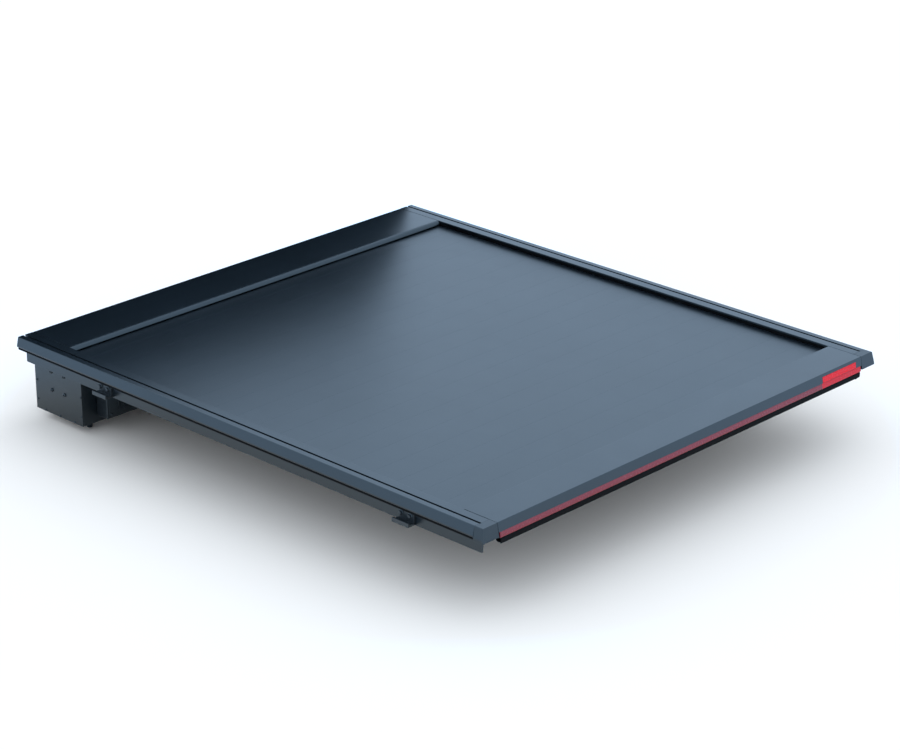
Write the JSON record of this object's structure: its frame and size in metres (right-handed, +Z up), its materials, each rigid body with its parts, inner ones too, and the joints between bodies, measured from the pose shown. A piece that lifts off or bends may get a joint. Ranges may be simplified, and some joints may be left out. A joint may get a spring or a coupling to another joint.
{
  "type": "tonneau cover",
  "caption": "Electric roller tonneau cover: slatted curtain between two side rails, with a roller canister at the cab end and a rear bar with a red light strip.",
  "frame": {"origin": "on the centre plane, midway along the rails, on the plane where the rail gaskets rest on the bed sides", "axes": "+Y towards the cab, +Z up, +X to the right-hand side of the truck"},
  "size_m": [1.39, 1.5844, 0.224],
  "materials": {
    "powder_coat": "fine-textured satin black powder coat on aluminium",
    "slat_coat": "smooth satin black powder coat on aluminium slats",
    "black_rubber": "matt black rubber",
    "black_plastic": "moulded black plastic, lightly grained",
    "grey_plastic": "moulded grey plastic",
    "galvanised_sheet": "galvanised steel",
    "zinc_steel": "bright zinc plating",
    "black_steel": "black coated steel",
    "red_lens": "gloss red lens, lit from behind",
    "webbing": "woven black strap"
  },
  "bodies": {
    "frame": {"left_rail": "powder_coat", "right_rail": "powder_coat", "canister_lid": "powder_coat", "canister_lip": "powder_coat", "canister_front_wall": "powder_coat", "canister_rear_wall": "powder_coat", "canister_floor": "powder_coat", "canister_left_end": "powder_coat", "canister_right_end": "powder_coat", "left_rail_gasket": "black_rubber", "right_rail_gasket": "black_rubber", "left_wiper_seal": "black_rubber", "right_wiper_seal": "black_rubber", "mouth_brush": "black_rubber", "bulkhead_seal": "black_rubber", "left_rail_end_cap": "black_plastic", "right_rail_end_cap": "black_plastic", "left_drain_spigot": "black_plastic", "right_drain_spigot": "black_plastic", "control_box": "black_plastic", "cable_gland": "black_plastic", "button_housing": "black_plastic", "motor_bracket": "galvanised_sheet", "tubular_motor": "zinc_steel", "idler_bearing": "zinc_steel", "left_rear_clamp": "black_steel", "left_front_clamp": "black_steel", "right_rear_clamp": "black_steel", "right_front_clamp": "black_steel", "leader_strap": "webbing"},
    "rear_bar": {"rear_bar": "powder_coat", "light_strip": "red_lens", "marker_lens": "red_lens", "rear_bar_seal": "black_rubber", "rear_bar_left_glide": "black_plastic", "rear_bar_right_glide": "black_plastic"},
    "slat_01": {"slat_01": "slat_coat"},
    "slat_02": {"slat_02": "slat_coat"},
    "slat_03": {"slat_03": "slat_coat"},
    "slat_04": {"slat_04": "slat_coat"},
    "slat_05": {"slat_05": "slat_coat"},
    "slat_06": {"slat_06": "slat_coat"},
    "slat_07": {"slat_07": "slat_coat"},
    "slat_08": {"slat_08": "slat_coat"},
    "slat_09": {"slat_09": "slat_coat"},
    "slat_10": {"slat_10": "slat_coat"},
    "slat_11": {"slat_11": "slat_coat"},
    "slat_12": {"slat_12": "slat_coat"},
    "slat_13": {"slat_13": "slat_coat"},
    "slat_14": {"slat_14": "slat_coat"},
    "slat_15": {"slat_15": "slat_coat"},
    "slat_16": {"slat_16": "slat_coat"},
    "slat_17": {"slat_17": "slat_coat"},
    "slat_18": {"slat_18": "slat_coat"},
    "drum": {"drum_tube": "galvanised_sheet", "drive_wheel": "black_plastic", "drum_end_plug": "black_plastic"},
    "feed_roller": {"feed_roller": "black_plastic"},
    "button_open": {"button_open": "grey_plastic"},
    "button_close": {"button_close": "grey_plastic"}
  },
  "joints": [
    {"name": "cover_slide", "type": "slide", "parent": "frame", "child": "rear_bar", "axis": [0, 1, 0], "range_m": [0, 1.316]},
    {"name": "slat_01_slide", "type": "slide", "parent": "frame", "child": "slat_01", "axis": [0, 1, 0], "range_m": [0, 0.1212], "deforming": ["slat_01"]},
    {"name": "slat_02_slide", "type": "slide", "parent": "frame", "child": "slat_02", "axis": [0, 1, 0], "range_m": [0, 0.1915], "deforming": ["slat_02"]},
    {"name": "slat_03_slide", "type": "slide", "parent": "frame", "child": "slat_03", "axis": [0, 1, 0], "range_m": [0, 0.2618], "deforming": ["slat_03"]},
    {"name": "slat_04_slide", "type": "slide", "parent": "frame", "child": "slat_04", "axis": [0, 1, 0], "range_m": [0, 0.3321], "deforming": ["slat_04"]},
    {"name": "slat_05_slide", "type": "slide", "parent": "frame", "child": "slat_05", "axis": [0, 1, 0], "range_m": [0, 0.4024], "deforming": ["slat_05"]},
    {"name": "slat_06_slide", "type": "slide", "parent": "frame", "child": "slat_06", "axis": [0, 1, 0], "range_m": [0, 0.4727], "deforming": ["slat_06"]},
    {"name": "slat_07_slide", "type": "slide", "parent": "frame", "child": "slat_07", "axis": [0, 1, 0], "range_m": [0, 0.5431], "deforming": ["slat_07"]},
    {"name": "slat_08_slide", "type": "slide", "parent": "frame", "child": "slat_08", "axis": [0, 1, 0], "range_m": [0, 0.6134], "deforming": ["slat_08"]},
    {"name": "slat_09_slide", "type": "slide", "parent": "frame", "child": "slat_09", "axis": [0, 1, 0], "range_m": [0, 0.6837], "deforming": ["slat_09"]},
    {"name": "slat_10_slide", "type": "slide", "parent": "frame", "child": "slat_10", "axis": [0, 1, 0], "range_m": [0, 0.754], "deforming": ["slat_10"]},
    {"name": "slat_11_slide", "type": "slide", "parent": "frame", "child": "slat_11", "axis": [0, 1, 0], "range_m": [0, 0.8243], "deforming": ["slat_11"]},
    {"name": "slat_12_slide", "type": "slide", "parent": "frame", "child": "slat_12", "axis": [0, 1, 0], "range_m": [0, 0.8946], "deforming": ["slat_12"]},
    {"name": "slat_13_slide", "type": "slide", "parent": "frame", "child": "slat_13", "axis": [0, 1, 0], "range_m": [0, 0.9649], "deforming": ["slat_13"]},
    {"name": "slat_14_slide", "type": "slide", "parent": "frame", "child": "slat_14", "axis": [0, 1, 0], "range_m": [0, 1.0352], "deforming": ["slat_14"]},
    {"name": "slat_15_slide", "type": "slide", "parent": "frame", "child": "slat_15", "axis": [0, 1, 0], "range_m": [0, 1.1056], "deforming": ["slat_15"]},
    {"name": "slat_16_slide", "type": "slide", "parent": "frame", "child": "slat_16", "axis": [0, 1, 0], "range_m": [0, 1.1759], "deforming": ["slat_16"]},
    {"name": "slat_17_slide", "type": "slide", "parent": "frame", "child": "slat_17", "axis": [0, 1, 0], "range_m": [0, 1.2462], "deforming": ["slat_17"]},
    {"name": "slat_18_slide", "type": "slide", "parent": "frame", "child": "slat_18", "axis": [0, 1, 0], "range_m": [0, 1.3165], "deforming": ["slat_18"]},
    {"name": "drum_turn", "type": "hinge", "parent": "frame", "child": "drum", "pos_m": [0, 0.697, -0.078], "axis": [-1, 0, 0], "range_deg": [0, 1479]},
    {"name": "feed_roller_turn", "type": "hinge", "parent": "frame", "child": "feed_roller", "pos_m": [0, 0.668, 0.0005], "axis": [-1, 0, 0], "range_deg": [0, 7182]},
    {"name": "button_open_press", "type": "slide", "parent": "frame", "child": "button_open", "axis": [-1, 0, 0], "range_m": [0, 0.0015], "stiffness_N_per_m": 600, "springref_m": -0.0015},
    {"name": "button_close_press", "type": "slide", "parent": "frame", "child": "button_close", "axis": [-1, 0, 0], "range_m": [0, 0.0015], "stiffness_N_per_m": 600, "springref_m": -0.0015}
  ],
  "couplings": [
    {"joint": "slat_01_slide", "follows": "cover_slide", "ratio": 0.0917},
    {"joint": "slat_02_slide", "follows": "cover_slide", "ratio": 0.14513},
    {"joint": "slat_03_slide", "follows": "cover_slide", "ratio": 0.19856},
    {"joint": "slat_04_slide", "follows": "cover_slide", "ratio": 0.25199},
    {"joint": "slat_05_slide", "follows": "cover_slide", "ratio": 0.30542},
    {"joint": "slat_06_slide", "follows": "cover_slide", "ratio": 0.35885},
    {"joint": "slat_07_slide", "follows": "cover_slide", "ratio": 0.41228},
    {"joint": "slat_08_slide", "follows": "cover_slide", "ratio": 0.46571},
    {"joint": "slat_09_slide", "follows": "cover_slide", "ratio": 0.51914},
    {"joint": "slat_10_slide", "follows": "cover_slide", "ratio": 0.57256},
    {"joint": "slat_11_slide", "follows": "cover_slide", "ratio": 0.62599},
    {"joint": "slat_12_slide", "follows": "cover_slide", "ratio": 0.67942},
    {"joint": "slat_13_slide", "follows": "cover_slide", "ratio": 0.73285},
    {"joint": "slat_14_slide", "follows": "cover_slide", "ratio": 0.78628},
    {"joint": "slat_15_slide", "follows": "cover_slide", "ratio": 0.83971},
    {"joint": "slat_16_slide", "follows": "cover_slide", "ratio": 0.89314},
    {"joint": "slat_17_slide", "follows": "cover_slide", "ratio": 0.94657},
    {"joint": "slat_18_slide", "follows": "cover_slide", "ratio": 1},
    {"joint": "drum_turn", "follows": "cover_slide", "rad_per_m": 19.6},
    {"joint": "feed_roller_turn", "follows": "cover_slide", "rad_per_m": 95.24}
  ]
}
